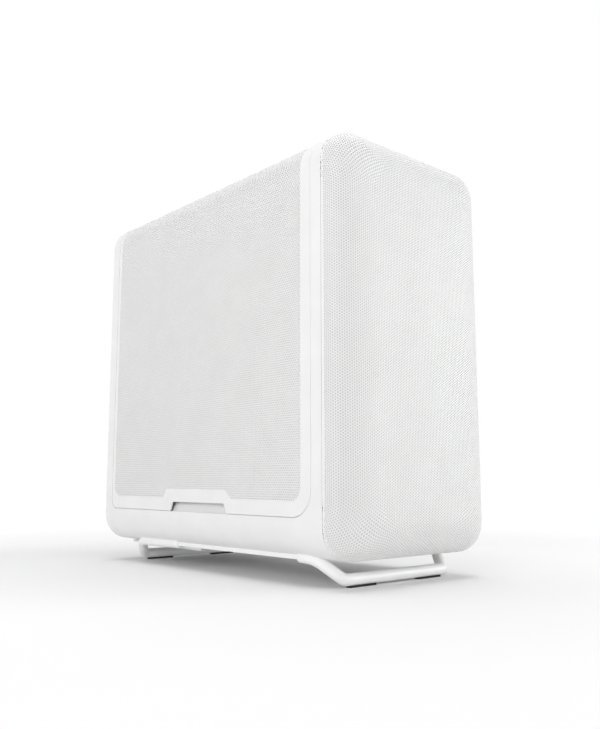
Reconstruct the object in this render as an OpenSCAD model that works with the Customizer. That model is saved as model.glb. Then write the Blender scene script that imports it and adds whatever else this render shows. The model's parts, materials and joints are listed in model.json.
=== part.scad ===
// Desktop computer tower in millimetres. +Z is up and the front faces -Y. The origin is on the
// floor, under the middle of the case. Every lift-off cover is drawn closed.

/* [Case] */
// Width of the case
case_w = 215; // [213:1:225]
// Depth of the case, from the tip of the domed front to the rear edge
case_d = 430; // [430:1:440]
// Height of the case above the floor
case_h = 430; // [430:1:440]
// Height of the underside above the floor
foot_h = 25; // [25:1:26]
// Radius of the four long edges
edge_r = 32; // [31:1:33]
// Thickness of the painted outer sheet
sheet_t = 2; // [1.8:0.1:2]

/* [Domed front] */
// Depth of the domed cover in front of the case
dome_d = 31; // [31:1:34]
// Width over which each upright edge of the dome rolls back
dome_roll_x = 45; // [40:1:50]
// Height over which the top and bottom edges of the dome roll back
dome_roll_z = 36; // [32:1:40]
// Smallest corner radius of the dome's outline
dome_corner_r = 21; // [18:1:24]

/* [Covers] */
// Thickness of the side and top panel frames
panel_t = 1.6; // [1.2:0.1:1.6]
// Width of the open seam round each panel
seam = 0.5; // [0.4:0.1:0.8]
// Height of the seam under the side panels, above the underside
sill_h = 38.5; // [36:0.5:40]
// Depth of the front control strip on top of the case
strip_d = 44; // [42:1:46]

/* [Feet] */
// Radius of the bent foot tubes
foot_r = 5.75; // [5:0.25:6]
// Thickness of the rubber pads
pad_t = 1.5; // [1:0.5:3]

/* [Hidden] */
$fn = 64;

// Case envelope
half_w = case_w / 2;
front_y = -case_d / 2;
rear_y = case_d / 2;
body_h = case_h - foot_h;
mid_z = foot_h + body_h / 2;
hoop_y = front_y + dome_d;
sill_z = foot_h + sill_h;
far = 600;

// Seams and the lip that the panels rest against
panel_front_y = hoop_y + 14.5;
panel_rear_y = rear_y - 15;
split_x = half_w - edge_r + 0.5;
strip_x = split_x - seam / 2;
strip_y = hoop_y + strip_d;
lip_t = 1.5;
lip_in = sheet_t + lip_t;
lip_reach = 12;
front_corner_r = 26;
rear_corner_r = 11;

// Mesh windows
win_y = [panel_front_y + 14.5, panel_rear_y - 6.3];
win_z = sill_z + 15;
win_corner_r = 14;
win_top_x = split_x + 8;
mesh_in = 0.3;
mesh_t = 1;
notch_y = [-40, 65];
notch_h = 10.5;
notch_slant = 4;

// Stud places on the side panels: along the case, then up it
side_studs = [[panel_front_y + 6.5, 110], [panel_front_y + 6.5, 380],
              [panel_rear_y - 4.2, 110], [panel_rear_y - 4.2, 380]];
top_studs = [[-72, -132], [72, -132], [-72, 178], [72, 178]];
cover_studs = [[-82, 62], [82, 62], [-82, 396], [82, 396]];
stud_r = 1.6;
ball_r = 2.5;
ball_in = 8;
socket_r = ball_r + 0.05;
socket_hole_r = 3.2;

// Chassis sheets
steel_t = 1.2;
plate_y = rear_y - 7;
front_plate_y = hoop_y + 2;
rail_x = [66, 80];
rail_z = [case_h - 12.4, case_h - 2.4];
tray_x = 82;
tray_y = [-100, plate_y];
shroud_z = 126;
shroud_x = -95;

// Motherboard and what is fixed to it, which faces -X
board_x = 75.6;
board_t = 1.6;
board_y = [-39, 205];
board_z = [140, 384];
face_x = board_x - board_t;
slot_pitch = 20.32;
slot_z = 152;
cpu = [120, 318];

// Power supply
psu = [150, 140, 86];
psu_z = foot_h + sheet_t;
psu_y = plate_y - psu[1];
psu_fan = [0, psu_y + 72];

// Fans: side, depth, tip radius, hub radius, number of blades
front_fan_z = [185, 327];
front_fan_y = front_plate_y + steel_t;
rear_fan_at = [-34, 318];
shaft_r = 2;
running_gap = 0.05;
skin_gap = 0.15;

// ---- Outlines and sweeps ----

module rounded_rect(w, h, r) {
    square([w - 2 * r, h], center = true);
    square([w, h - 2 * r], center = true);
    for (sx = [-1, 1], sy = [-1, 1])
        translate([sx * (w / 2 - r), sy * (h / 2 - r)])
            circle(r);
}

// Cross-section of the case seen from the front, drawn in X and Z
module outline(inset = 0) {
    translate([0, mid_z])
        rounded_rect(case_w - 2 * inset, body_h - 2 * inset, edge_r - inset);
}

// Sweeps an X-Z outline along Y
module along_y(y0, y1) {
    translate([0, y1, 0])
        rotate([90, 0, 0])
            linear_extrude(y1 - y0)
                children();
}

// Sweeps a Y-Z outline along X
module along_x(x0, x1) {
    translate([x0, 0, 0])
        rotate([90, 0, 90])
            linear_extrude(x1 - x0)
                children();
}

// Block between two corners
module block(x, y, z) {
    translate([x[0], y[0], z[0]])
        cube([x[1] - x[0], y[1] - y[0], z[1] - z[0]]);
}

// Tube of the case's cross-section between two depths under the outer surface
module skin(y0, y1, outer, inner) {
    along_y(y0, y1)
        difference() {
            outline(outer);
            outline(inner);
        }
}

module both_sides() {
    children();
    mirror([1, 0, 0])
        children();
}

// Concave corner piece, drawn with its square corner at the origin
module corner_fillet(r) {
    difference() {
        square(r);
        translate([r, r])
            circle(r);
    }
}

// Round hole or rod along X, Y or Z
module rod_x(r, x, y, z) {
    translate([x[0], y, z])
        rotate([0, 90, 0])
            cylinder(r = r, h = x[1] - x[0]);
}

module rod_y(r, x, y, z) {
    translate([x, y[1], z])
        rotate([90, 0, 0])
            cylinder(r = r, h = y[1] - y[0]);
}

module rod_z(r, x, y, z) {
    translate([x, y, z[0]])
        cylinder(r = r, h = z[1] - z[0]);
}

// ---- Outer shell ----

// Concentric slots under a fan, leaving four webs
module fan_slots(r, rings, web) {
    difference() {
        for (i = [1 : rings])
            difference() {
                circle(i * r / rings);
                circle(i * r / rings - 0.6 * r / rings);
            }
        square([web, 3 * r], center = true);
        square([3 * r, web], center = true);
    }
}

// Slanted plate behind the notch of a side panel, with room for fingertips in front of it
module finger_plate() {
    x = half_w - sheet_t;
    deep = 8;
    low_z = sill_z - 4;
    high_z = sill_z + 14;
    along_y(notch_y[0] - 3.9, notch_y[1] + 3.9)
        polygon([[-x, low_z - 2], [-x, low_z], [-x + deep, high_z],
                 [-x + deep + lip_t, high_z], [-x + lip_t, low_z], [-x + lip_t, low_z - 2]]);
}

module base_pan() {
    lip_x = half_w - lip_in;
    color("whitesmoke")
        difference() {
            union() {
                intersection() {
                    skin(hoop_y, rear_y, 0, sheet_t);
                    block([-far, far], [-far, far], [0, sill_z]);
                }
                both_sides()
                    for (y = [[panel_front_y + lip_reach, notch_y[0] - 4],
                              [notch_y[1] + 4, panel_rear_y - lip_reach]])
                        block([-lip_x - lip_t, -lip_x], y, [sill_z - 7, sill_z + 9.5]);
            }
            translate([psu_fan[0], psu_fan[1], 0])
                linear_extrude(foot_h + 5)
                    fan_slots(62, 6, 5);
        }
}

// Ring of shell with the lip behind it and a filled corner above the sill
module hoop(band_y, lip_y, corner_y, corner_r) {
    difference() {
        union() {
            skin(band_y[0], band_y[1], 0, sheet_t);
            skin(lip_y[0], lip_y[1], sheet_t, lip_in);
        }
        block([-far, far], [-far, far], [0, sill_z]);
    }
    both_sides()
        along_x(-half_w, -half_w + sheet_t)
            translate([corner_y, sill_z])
                scale([corner_y < 0 ? 1 : -1, 1])
                    corner_fillet(corner_r);
}

module side_stud_holes(ys) {
    for (s = side_studs)
        if (s[0] > ys[0] && s[0] < ys[1])
            rod_x(socket_hole_r, [-half_w - 1, half_w + 1], s[0], s[1]);
}

module front_hoop() {
    lip_y = [panel_front_y - 6, panel_front_y + lip_reach];
    top_z = case_h - sheet_t;
    color("whitesmoke")
        difference() {
            hoop([hoop_y, panel_front_y], lip_y, panel_front_y, front_corner_r);
            side_stud_holes(lip_y);
            // Place of the control strip, and of its ports through the lip
            block([-strip_x, strip_x], [-far, strip_y], [top_z, case_h + 1]);
            block([-62.4, 62.4], [-far, strip_y], [case_h - 20, case_h + 1]);
        }
}

module rear_hoop() {
    lip_y = [panel_rear_y - lip_reach, panel_rear_y + 6];
    color("whitesmoke")
        difference() {
            hoop([panel_rear_y, rear_y], lip_y, panel_rear_y, rear_corner_r);
            side_stud_holes(lip_y);
        }
}

module rear_plate() {
    color("gainsboro")
        difference() {
            along_y(plate_y, plate_y + steel_t)
                difference() {
                    outline(sheet_t);
                    translate([0, psu_z + psu[2] / 2])
                        square([psu[0] - 8, psu[2] - 8], center = true);
                    translate([13, slot_z - 9.2])
                        translate([-57, 0])
                            square([114, 3 * slot_pitch + 18.4]);
                    translate([32.5, 224])
                        square([43, 156.5]);
                    translate(rear_fan_at)
                        fan_slots(57, 7, 3);
                }
            for (p = rear_screw_places())
                rod_y(1.9, p[0], [plate_y - 1, plate_y + steel_t + 1], p[1]);
        }
}

function fan_screw_places(at, side) =
    [for (sx = [-1, 1], sz = [-1, 1]) [at[0] + sx * (side / 2 - 7.5), at[1] + sz * (side / 2 - 7.5)]];

function rear_screw_places() = concat(
    fan_screw_places(rear_fan_at, 120),
    [for (i = [0 : 3]) [79, slot_z + i * slot_pitch]]
);

module rear_screws() {
    color("silver")
        for (p = rear_screw_places()) {
            rod_y(3.4, p[0], [plate_y + steel_t, plate_y + steel_t + 2.2], p[1]);
            rod_y(1.6, p[0], [plate_y - 4, plate_y + steel_t], p[1]);
        }
}

module front_plate() {
    color("gainsboro")
        difference() {
            along_y(front_plate_y, front_plate_y + steel_t)
                difference() {
                    outline(sheet_t);
                    for (z = front_fan_z)
                        translate([0, z])
                            circle(66);
                    translate([0, 72])
                        rounded_rect(120, 50, 6);
                }
            for (s = cover_studs)
                rod_y(socket_hole_r, s[0], [front_plate_y - 1, front_plate_y + 3], s[1]);
            block([-62.4, 62.4], [-far, 0], [case_h - 20, case_h]);
        }
}

module top_rails() {
    color("gainsboro")
        difference() {
            both_sides()
                difference() {
                    block(rail_x, [panel_front_y + lip_reach, panel_rear_y - lip_reach], rail_z);
                    block([rail_x[0] + 2, rail_x[1] - 2],
                          [panel_front_y + 46, panel_rear_y - 26],
                          [rail_z[0] + steel_t, rail_z[1] - steel_t]);
                }
            for (s = top_studs)
                rod_z(socket_r, s[0], s[1], [rail_z[0] - 1, rail_z[1] + 1]);
        }
}

// ---- Inner chassis ----

function standoff_places() =
    [for (y = [-33, 78, 198], z = [146.5, 225, 377.5]) [y, z]];

module motherboard_tray() {
    flange_z = rail_z[0] - steel_t;
    color("silver")
        difference() {
            union() {
                block([tray_x, tray_x + steel_t], tray_y, [shroud_z + steel_t, rail_z[0]]);
                block([rail_x[0] + 4, tray_x + 0.6], tray_y, [flange_z, rail_z[0]]);
            }
            // Opening behind the processor, cable openings and standoff holes
            along_x(tray_x - 1, tray_x + steel_t + 1) {
                translate([cpu[0] + 5, cpu[1]])
                    rounded_rect(90, 84, 6);
                for (z = [200, 300])
                    translate([-68, z])
                        rounded_rect(34, 66, 8);
            }
            for (p = standoff_places())
                rod_x(2.05, [tray_x - 1, tray_x + steel_t + 1], p[0], p[1]);
        }
}

module psu_shroud() {
    color("silver")
        difference() {
            union() {
                block([shroud_x, tray_x + steel_t], [-125, plate_y], [shroud_z, shroud_z + steel_t]);
                block([shroud_x, shroud_x + steel_t], [-125, plate_y], [38, shroud_z]);
            }
            // Cable opening by the tray
            block([40, 76], [-72, -42], [shroud_z - 1, shroud_z + steel_t + 1]);
        }
}

module drive_cage() {
    cage_x = 52;
    cage_y = [-118, 34];
    color("silver")
        difference() {
            union() {
                both_sides()
                    block([cage_x, cage_x + steel_t], cage_y, [psu_z, shroud_z]);
                block([-cage_x, cage_x], cage_y, [psu_z + 30, psu_z + 30 + steel_t]);
            }
            for (y = [-90, -42, 6], z = [90, 105])
                rod_x(1.8, [-far, far], y, z);
        }
}

module hard_drive() {
    z0 = psu_z + 31.2;
    color("darkgray") {
        block([-50.8, 50.8], [-115, 32], [z0, z0 + 24]);
        rod_z(30, 0, -60, [z0 + 24, z0 + 25.4]);
        block([-30, 30], [-18, 20], [z0 + 24, z0 + 25]);
    }
}

// ---- Feet, underside rails and dust filter ----

front_foot_y = -174;
rear_foot_y = 180;
foot_corner_x = 71;
weld_gap = 0.06;
front_sleeve_end = -133;
rear_sleeve_end = 75;

// One bent arm: out of the cross tube, up and back to the underside
module foot_arm(foot_y, back, sleeve_end) {
    a = [foot_corner_x, foot_y, pad_t + foot_r];
    b = [87, foot_y + back * 21, foot_h + 0.8];
    c = [87, sleeve_end, foot_h + 1.4];
    for (leg = [[a, b], [b, c]])
        tube_between(leg[0], leg[1], foot_r);
    for (p = [a, b])
        translate(p)
            sphere(foot_r);
}

// Round rod from one point to another
module tube_between(p, q, r) {
    v = q - p;
    translate(p)
        rotate([0, acos(v[2] / norm(v)), atan2(v[1], v[0])])
            cylinder(r = r, h = norm(v));
}

module foot(foot_y, back, sleeve_end) {
    color("white")
        difference() {
            union() {
                rod_x(foot_r, [-foot_corner_x, foot_corner_x], foot_y, pad_t + foot_r);
                both_sides()
                    foot_arm(foot_y, back, sleeve_end);
            }
            along_y(-far, far)
                outline(-weld_gap);
            // Flats on which the pads are glued
            for (x = [-48, 48])
                block([x - 18.1, x + 18.1], [foot_y - 5, foot_y + 5], [0, pad_t + 0.4]);
        }
}

module front_foot() {
    foot(front_foot_y, 1, front_sleeve_end);
}

module rear_foot() {
    foot(rear_foot_y, -1, rear_sleeve_end);
}

module foot_pads() {
    color("black")
        for (x = [-48, 48], y = [front_foot_y, rear_foot_y])
            translate([x, y, 0])
                linear_extrude(pad_t + 0.4)
                    rounded_rect(36, 6.4, 2);
}

filter_y = [60, 204];
filter_x = 73;
guide_z = 19;
guide_y = [50, 163];

// Runner strips between the feet, the plates behind the side panels' notches, and the two guides
// that hold the dust filter
module underside_rails() {
    color("white")
        both_sides() {
            finger_plate();
            difference() {
                block([84, 90], [front_sleeve_end + 0.2, rear_sleeve_end - 0.2], [24, 32]);
                along_y(-far, far)
                    outline(-weld_gap);
            }
            block([filter_x + 0.4, filter_x + 2.4], guide_y, [guide_z, foot_h]);
            block([filter_x - 4, filter_x + 0.4], guide_y, [guide_z, guide_z + 1.2]);
        }
}

module filter_frame() {
    z0 = guide_z + 1.6;
    color("white")
        difference() {
            union() {
                block([-filter_x, filter_x], filter_y, [z0, z0 + 3]);
                block([-20, 20], [filter_y[1], filter_y[1] + 5], [z0, z0 + 2]);
            }
            for (sx = [-1, 1])
                translate([sx * 34, (filter_y[0] + filter_y[1]) / 2, z0 - 1])
                    linear_extrude(5)
                        rounded_rect(60, filter_y[1] - filter_y[0] - 16, 4);
        }
}

module filter_gauze() {
    z0 = guide_z + 2.6;
    color("gray")
        for (sx = [-1, 1])
            translate([sx * 34, (filter_y[0] + filter_y[1]) / 2, z0])
                linear_extrude(0.8)
                    rounded_rect(60, filter_y[1] - filter_y[0] - 16, 4);
}

// ---- Domed front cover ----

// Outline of the dome at depth d behind its tip, with a wall's inset from the outer surface
dome_edge_y = 23;
dome_edge_z = 25;
corner_steps = 10;
dome_t = 1.6;

function roll(d, reach, depth) =
    d >= depth ? 0 : reach * (1 - sqrt(1 - pow(1 - d / depth, 2)));

function dome_ring(d, inset) =
    let (
        ix = roll(d, dome_roll_x, dome_edge_y) + inset,
        iz = roll(d, dome_roll_z, dome_edge_z) + inset,
        rx = max(edge_r - ix, dome_corner_r),
        rz = max(edge_r - iz, dome_corner_r),
        hx = half_w - ix - rx,
        hz = body_h / 2 - iz - rz
    )
    [for (q = [0 : 3], i = [0 : corner_steps])
        let (
            a = 90 * (q + i / corner_steps),
            sx = q == 0 || q == 3 ? 1 : -1,
            sz = q < 2 ? 1 : -1
        )
        [sx * hx + rx * cos(a), front_y + d + inset, mid_z + sz * hz + rz * sin(a)]];

// Closed skin: outer rings from the rim to the tip, then inner rings back to the rim
module dome_skin(rim_d) {
    steps = 9;
    depths = concat([rim_d], [for (i = [0 : steps]) dome_edge_z * (1 - sin(90 * i / steps))]);
    rings = concat(
        [for (d = depths) dome_ring(d, 0)],
        [for (i = [len(depths) - 1 : -1 : 0]) dome_ring(max(depths[i] - (i == 0 ? dome_t : 0), 0), dome_t)]
    );
    n = len(rings[0]);
    m = len(rings);
    tip = len(depths) - 1;
    points = [for (ring = rings, p = ring) p];
    faces = concat(
        [for (k = [0 : m - 1], j = [0 : n - 1], half = [0, 1])
            let (
                k2 = (k + 1) % m,
                j2 = (j + 1) % n,
                a = k * n + j,
                b = k * n + j2,
                c = k2 * n + j2,
                e = k2 * n + j
            )
            if (k != tip)
                half == 0 ? [a, b, c] : [a, c, e]],
        [[for (j = [0 : n - 1]) tip * n + j], [for (j = [n - 1 : -1 : 0]) (tip + 1) * n + j]]
    );
    polyhedron(points, faces, convexity = 6);
}

cover_rim_y = hoop_y - 0.4;

module front_cover_mesh() {
    color("whitesmoke")
        dome_skin(cover_rim_y - front_y);
}

module front_cover_frame() {
    depth = 4;
    y = [cover_rim_y - depth, cover_rim_y];
    color("white") {
        along_y(y[0], y[1])
            difference() {
                outline(dome_t + skin_gap);
                outline(dome_t + 10);
            }
        for (z = [110, 256, 402])
            block([-half_w + 8, half_w - 8], y, [z - 3, z + 3]);
        for (s = cover_studs) {
            rod_y(6, s[0], [y[0], y[1]], s[1]);
            rod_y(ball_r, s[0], [y[0], front_plate_y + 7], s[1]);
        }
        both_sides()
            for (s = [cover_studs[1], cover_studs[3]])
                block([s[0], half_w - 8], y, [s[1] - 3, s[1] + 3]);
    }
}

// ---- Side and top panels ----

// Outline of a side panel in Y and Z, open at the top where it wraps over the case
module side_outline() {
    y = [panel_front_y + seam, panel_rear_y - seam];
    z = sill_z + seam;
    fr = front_corner_r - seam;
    rr = rear_corner_r - seam;
    difference() {
        union() {
            translate([y[0], z + fr])
                square([y[1] - y[0], far]);
            translate([y[0] + fr, z])
                square([y[1] - y[0] - fr - rr, fr + 1]);
            translate([y[0] + fr, z + fr])
                circle(fr);
            translate([y[1] - rr, z + rr])
                circle(rr);
            translate([y[1] - rr, z + rr])
                square([rr, fr - rr + 1]);
        }
        polygon([[notch_y[0], sill_z - 5], [notch_y[0], sill_z + 1],
                 [notch_y[0] + notch_slant, sill_z + notch_h],
                 [notch_y[1] - notch_slant, sill_z + notch_h],
                 [notch_y[1], sill_z + 1], [notch_y[1], sill_z - 5]]);
    }
}

// Outline of the mesh window in Y and Z, with the bridge over the finger notch
module window_outline() {
    z = win_z;
    r = win_corner_r;
    difference() {
        union() {
            translate([win_y[0], z + r])
                square([win_y[1] - win_y[0], far]);
            translate([win_y[0] + r, z])
                square([win_y[1] - win_y[0] - 2 * r, r + 1]);
            for (y = [win_y[0] + r, win_y[1] - r])
                translate([y, z + r])
                    circle(r);
        }
        polygon([[notch_y[0] - 9, z - 5], [notch_y[0] - 9, z], [notch_y[0] + 3, z + 10],
                 [notch_y[1] + 9, z + 10], [notch_y[1] + 15, z], [notch_y[1] + 15, z - 5]]);
    }
}

module side_panel_frame() {
    color("whitesmoke")
        difference() {
            intersection() {
                skin(panel_front_y, panel_rear_y, 0, panel_t);
                along_x(-far, -split_x - seam / 2)
                    side_outline();
            }
            along_x(-far, -win_top_x)
                window_outline();
        }
}

module side_panel_mesh() {
    color("lightgray")
        intersection() {
            skin(win_y[0], win_y[1], mesh_in, mesh_in + mesh_t);
            along_x(-far, -win_top_x)
                window_outline();
        }
}

module side_panel_studs() {
    color("silver")
        for (s = side_studs) {
            rod_x(stud_r, [-half_w + panel_t, -half_w + ball_in], s[0], s[1]);
            translate([-half_w + ball_in, s[0], s[1]])
                sphere(ball_r);
        }
}

module left_panel_frame() {
    side_panel_frame();
}

module left_panel_mesh() {
    side_panel_mesh();
}

module left_panel_studs() {
    side_panel_studs();
}

module right_panel_frame() {
    mirror([1, 0, 0])
        side_panel_frame();
}

module right_panel_mesh() {
    mirror([1, 0, 0])
        side_panel_mesh();
}

module right_panel_studs() {
    mirror([1, 0, 0])
        side_panel_studs();
}

top_panel_y = [strip_y + seam, panel_rear_y - seam];
top_win = [[-strip_x + 14, strip_x - 14], [top_panel_y[0] + 14, top_panel_y[1] - 12]];

module top_window() {
    x = top_win[0];
    y = top_win[1];
    translate([0, (y[0] + y[1]) / 2])
        rounded_rect(x[1] - x[0], y[1] - y[0], 10);
}

module top_panel_frame() {
    x = strip_x;
    color("whitesmoke")
        difference() {
            block([-x, x], top_panel_y, [case_h - panel_t, case_h]);
            translate([0, 0, case_h - panel_t - 1])
                linear_extrude(panel_t + 2)
                    top_window();
        }
}

module top_panel_mesh() {
    color("lightgray")
        translate([0, 0, case_h - mesh_in - mesh_t])
            linear_extrude(mesh_t)
                top_window();
}

module top_panel_studs() {
    color("silver")
        for (s = top_studs) {
            rod_z(stud_r, s[0], s[1], [case_h - ball_in, case_h - panel_t]);
            translate([s[0], s[1], case_h - ball_in])
                sphere(ball_r);
        }
}

// Sprung plastic sockets on the chassis for the studs of the side panels and the front cover
module stud_sockets() {
    reach = 8;
    x = half_w - lip_in;
    color("dimgray") {
        for (s = side_studs)
            both_sides()
                difference() {
                    block([-x, -x + reach], [s[0] - 4.2, s[0] + 4.2], [s[1] - 4.5, s[1] + 4.5]);
                    rod_x(socket_r, [-x - 1, -x + reach + 1], s[0], s[1]);
                }
        for (s = cover_studs)
            difference() {
                block([s[0] - 5, s[0] + 5], [front_plate_y + steel_t, front_plate_y + steel_t + reach],
                      [s[1] - 5, s[1] + 5]);
                rod_y(socket_r, s[0], [front_plate_y, front_plate_y + steel_t + reach + 1], s[1]);
            }
    }
}

// ---- Control strip ----

strip_mid_y = (hoop_y + strip_y) / 2;
button_at = [-42, strip_mid_y];
button_r = 7;
jack_at = [-16, strip_mid_y];
jack_r = 1.8;
usb_c_x = 3;
usb_a_x = [24, 45];
port_z = [case_h - 14, case_h - 0.4];
strip_box_z = case_h - 16;

module slot_outline(w, h) {
    square([w - h, h], center = true);
    for (s = [-1, 1])
        translate([s * (w - h) / 2, 0])
            circle(h / 2);
}

module control_strip() {
    box = 61;
    wall = 1.6;
    y = [hoop_y + 4.5, strip_y - 3];
    color("whitesmoke")
        difference() {
            union() {
                block([-strip_x, strip_x], [hoop_y, strip_y], [case_h - sheet_t, case_h]);
                difference() {
                    block([-box, box], y, [strip_box_z, case_h - sheet_t]);
                    block([-box + wall, box - wall], [y[0] + wall, y[1] - wall],
                          [strip_box_z - 1, case_h - sheet_t]);
                }
            }
            rod_z(button_r + 0.3, button_at[0], button_at[1], [case_h - 5, case_h + 1]);
            rod_z(3, jack_at[0], jack_at[1], [case_h - 5, case_h + 1]);
            translate([0, strip_mid_y, case_h - 5])
                linear_extrude(6) {
                    translate([usb_c_x, 0])
                        slot_outline(9.4, 3.6);
                    for (x = usb_a_x)
                        translate([x, 0])
                            square([13.4, 6], center = true);
                }
        }
}

module control_board() {
    board = [case_h - 16, case_h - 14];
    color("seagreen")
        block([-58, 58], [hoop_y + 8, strip_y - 6], board);
    color("dimgray") {
        block([button_at[0] - 5, button_at[0] + 5], [button_at[1] - 5, button_at[1] + 5],
              [board[1], case_h - 9]);
        rod_z(1.8, button_at[0], button_at[1], [case_h - 9, case_h - 7.8]);
    }
}

module usb_ports() {
    color("silver")
        translate([0, strip_mid_y, port_z[0]]) {
            for (x = usb_a_x)
                translate([x, 0, 0]) {
                    linear_extrude(port_z[1] - port_z[0])
                        difference() {
                            square([13.4, 6], center = true);
                            square([12.5, 5.1], center = true);
                        }
                    block([-6.5, 6.5], [-2.9, 2.9], [0, 1]);
                    block([-5.4, 5.4], [0.3, 2], [1, 11]);
                }
            translate([usb_c_x, 0, 0]) {
                linear_extrude(port_z[1] - port_z[0])
                    difference() {
                        slot_outline(9.4, 3.6);
                        slot_outline(8.6, 2.8);
                    }
                linear_extrude(1)
                    slot_outline(9, 3.2);
                block([-3.3, 3.3], [-0.35, 0.35], [1, 7]);
            }
        }
}

module audio_jack() {
    color("black")
        difference() {
            rod_z(3, jack_at[0], jack_at[1], port_z);
            rod_z(jack_r, jack_at[0], jack_at[1], [port_z[0] + 1, port_z[1] + 1]);
        }
}

module power_button() {
    color("white") {
        rod_z(button_r, button_at[0], button_at[1], [case_h - 6, case_h]);
        rod_z(button_r + 1.2, button_at[0], button_at[1], [case_h - 6, case_h - 4]);
    }
}

// ---- Motherboard ----

module standoffs() {
    color("goldenrod")
        for (p = standoff_places()) {
            rod_x(3, [board_x, tray_x], p[0], p[1]);
            rod_x(2, [tray_x, tray_x + steel_t], p[0], p[1]);
            rod_x(1.5, [face_x, board_x], p[0], p[1]);
            rod_x(3.2, [face_x - 2, face_x], p[0], p[1]);
        }
}

module motherboard() {
    color("darkslategray")
        difference() {
            block([face_x, board_x], board_y, board_z);
            for (p = standoff_places())
                rod_x(1.55, [face_x - 1, board_x + 1], p[0], p[1]);
        }
}

memory_y = [40, 49];

module board_connectors() {
    back_y = plate_y;
    color("dimgray") {
        // Processor socket
        block([face_x - 4, face_x], [cpu[0] - 24, cpu[0] + 24], [cpu[1] - 24, cpu[1] + 24]);
        // Memory slots
        for (y = concat(memory_y, [58, 67]))
            difference() {
                block([face_x - 7, face_x], [y - 2.8, y + 2.8], [241, 381]);
                block([face_x - 8, face_x - 2], [y - 0.75, y + 0.75], [244, 378]);
            }
        // Main power, expansion slots and drive headers
        block([face_x - 12, face_x], [-37, -29], [290, 342]);
        difference() {
            block([face_x - 11, face_x], [75, 164], [slot_z + 3 * slot_pitch - 3.6, slot_z + 3 * slot_pitch + 3.6]);
            block([face_x - 12, face_x - 3], [77, 162], [slot_z + 3 * slot_pitch - 0.9, slot_z + 3 * slot_pitch + 0.9]);
        }
        block([face_x - 11, face_x], [139, 164], [slot_z - 3.6, slot_z + 3.6]);
        for (z = [172, 190])
            block([face_x - 9, face_x], [-36, -22], [z, z + 15]);
    }
    color("silver") {
        // Rear ports, in a column behind the shield
        block([face_x - 30, face_x], [back_y - 23, back_y - 1], [230, 262]);
        block([face_x - 28, face_x], [back_y - 23, back_y - 1], [266, 284]);
        block([face_x - 22, face_x], [back_y - 23, back_y - 1], [288, 318]);
        block([face_x - 14, face_x], [back_y - 23, back_y - 1], [322, 340]);
        block([face_x - 34, face_x], [back_y - 23, back_y - 1], [344, 372]);
    }
}

module board_heatsinks() {
    fins = 6;
    color("darkgray") {
        // Over the power stages, beside and above the processor socket
        block([face_x - 6, face_x], [158, 182], [268, 366]);
        for (i = [0 : fins - 1])
            block([face_x - 20, face_x - 6], [158.5 + i * 4.2, 161 + i * 4.2], [268, 366]);
        // Over the chipset
        block([face_x - 6, face_x], [6, 46], [160, 204]);
    }
}

module io_shield() {
    color("silver")
        difference() {
            block([30.5, 77.5], [plate_y - 1, plate_y], [222.5, 382]);
            for (hole = [[44.5, 230, 262], [46.5, 266, 284], [52.5, 288, 318], [60.5, 322, 340],
                         [40.5, 344, 372]])
                block([hole[0], face_x - 0.5], [plate_y - 2, plate_y + 1], [hole[1], hole[2]]);
        }
}

// ---- Processor cooler and memory ----

fin_x = [-76, face_x - 42];

module cooler_base() {
    color("peru") {
        block([face_x - 12, face_x - 4.2], [cpu[0] - 19, cpu[0] + 19], [cpu[1] - 19, cpu[1] + 19]);
        // Heat pipes rising from the base through the fins
        for (z = [-13, 13])
            rod_x(3, [fin_x[0] - 2, face_x - 12], cpu[0], cpu[1] + z);
    }
}

module cooler_fins() {
    count = 22;
    pitch = (fin_x[1] - fin_x[0] - 0.8) / (count - 1);
    color("silver")
        difference() {
            union() {
                for (i = [0 : count - 1])
                    block([fin_x[0] + i * pitch, fin_x[0] + i * pitch + 0.8],
                          [cpu[0] - 26, cpu[0] + 26], [cpu[1] - 60, cpu[1] + 60]);
                // Folded tabs that space the fins
                for (z = [-60, 59])
                    block(fin_x, [cpu[0] - 4, cpu[0] + 4], [cpu[1] + z, cpu[1] + z + 1]);
            }
            for (z = [-13, 13])
                rod_x(3, [fin_x[0] - 3, face_x], cpu[0], cpu[1] + z);
        }
}

module memory_modules() {
    color("dimgray")
        for (y = memory_y) {
            block([face_x - 32, face_x - 2], [y - 0.65, y + 0.65], [244.4, 377.6]);
            block([face_x - 34, face_x - 9], [y - 3, y + 3], [245, 377]);
        }
}

// ---- Fans, drawn with their axis along +Z and the motor post at the bottom ----

// Frame: square ring, four struts, motor disc and shaft
module fan_frame(side, depth, bore_r, hub_r) {
    strut_w = 3;
    strut_t = 3;
    difference() {
        linear_extrude(depth)
            difference() {
                rounded_rect(side, side, 5);
                circle(bore_r);
            }
        for (sx = [-1, 1], sy = [-1, 1])
            translate([sx * (side / 2 - 7.5), sy * (side / 2 - 7.5), -1])
                cylinder(r = 2.15, h = depth + 2);
    }
    for (a = [0 : 90 : 270])
        rotate(a + 20)
            translate([hub_r - 2, -strut_w / 2, 0])
                cube([bore_r - hub_r + 2.6, strut_w, strut_t]);
    cylinder(r = hub_r, h = strut_t);
    cylinder(r = shaft_r, h = depth - 4);
}

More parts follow.
